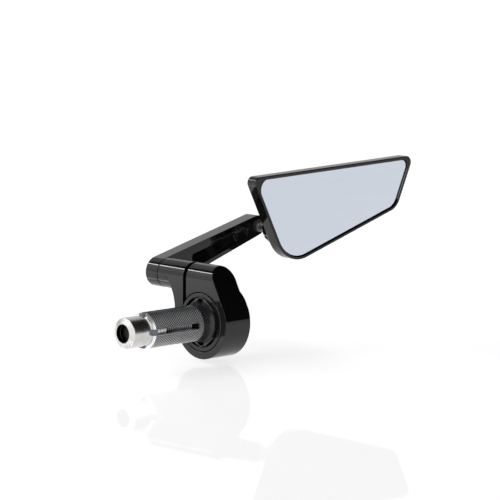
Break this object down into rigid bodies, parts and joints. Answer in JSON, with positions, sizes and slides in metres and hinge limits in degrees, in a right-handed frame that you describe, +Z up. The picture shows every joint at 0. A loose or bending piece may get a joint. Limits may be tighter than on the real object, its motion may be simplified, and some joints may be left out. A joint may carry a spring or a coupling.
{
  "type": "motorcycle mirror",
  "caption": "Bar-end motorcycle mirror for the right side: expanding handlebar plug, clamp ring, swinging arm, ball joint and a slanted four-sided flat glass.",
  "frame": {"origin": "on the handlebar axis, at the inner end of the slotted part of the knurled sleeve", "axes": "+X outboard along the handlebar axis, +Y towards the front of the motorcycle (the glass faces -Y), +Z up"},
  "size_m": [0.1884, 0.0545, 0.0814],
  "materials": {
    "black_anodised": "polished and black anodised, mirror-like gloss",
    "knurled_aluminium": "bare aluminium with a fine diamond knurl",
    "turned_steel": "fine turned",
    "black_steel": "black oxide",
    "zinc_steel": "zinc plated",
    "white_nylon": "moulded nylon",
    "black_rubber": "satin rubber",
    "mirror_glass": "flat mirror glass with a faint blue tint",
    "adhesive_foam": "thin adhesive foam sheet"
  },
  "bodies": {
    "plug": {"expander_sleeve": "knurled_aluminium", "hub_flange": "black_anodised", "adapter_ring": "black_anodised", "hub_screws": "black_steel", "end_cap": "black_anodised", "cap_oring": "black_rubber", "bolt_washer": "zinc_steel"},
    "bolt": {"expander_bolt": "black_steel"},
    "expander": {"expander_cone": "turned_steel", "cone_keys": "zinc_steel"},
    "clamp": {"clamp_body": "black_anodised", "pivot_bolt": "black_steel", "spring_washer": "zinc_steel", "pivot_washer": "white_nylon"},
    "arm": {"mirror_arm": "black_anodised"},
    "stud": {"ball_stud": "black_steel", "stud_washer": "zinc_steel", "stud_nut": "black_steel"},
    "seat": {"ball_seat": "white_nylon"},
    "head": {"socket_ring": "black_anodised", "ring_screws": "black_steel", "mirror_housing": "black_anodised", "mirror_glass": "mirror_glass", "glass_pad": "adhesive_foam"}
  },
  "joints": [
    {"name": "cone_slide", "type": "slide", "parent": "plug", "child": "expander", "axis": [-1, 0, 0], "range_m": [0, 0.0018]},
    {"name": "bolt_turn", "type": "hinge", "parent": "plug", "child": "bolt", "pos_m": [0, 0, 0], "axis": [1, 0, 0], "range_deg": [0, 520]},
    {"name": "clamp_turn", "type": "hinge", "parent": "plug", "child": "clamp", "pos_m": [0, 0, 0], "axis": [1, 0, 0], "continuous": true},
    {"name": "arm_swing", "type": "hinge", "parent": "clamp", "child": "arm", "pos_m": [0.0151, 0.0295, 0.01885], "axis": [0, -1, 0], "range_deg": [-100, 100]},
    {"name": "head_roll", "type": "hinge", "parent": "arm", "child": "stud", "pos_m": [0.07201, 0.0165, 0.03538], "axis": [0, -1, 0], "range_deg": [-110, 40]},
    {"name": "head_turn", "type": "hinge", "parent": "stud", "child": "seat", "pos_m": [0.07201, 0.0165, 0.03538], "axis": [0, 0, 1], "range_deg": [-15, 15]},
    {"name": "head_tilt", "type": "hinge", "parent": "seat", "child": "head", "pos_m": [0.07201, 0.0165, 0.03538], "axis": [1, 0, 0], "range_deg": [-15, 15]}
  ],
  "couplings": [
    {"joint": "bolt_turn", "follows": "cone_slide", "rad_per_m": 5026.5}
  ]
}
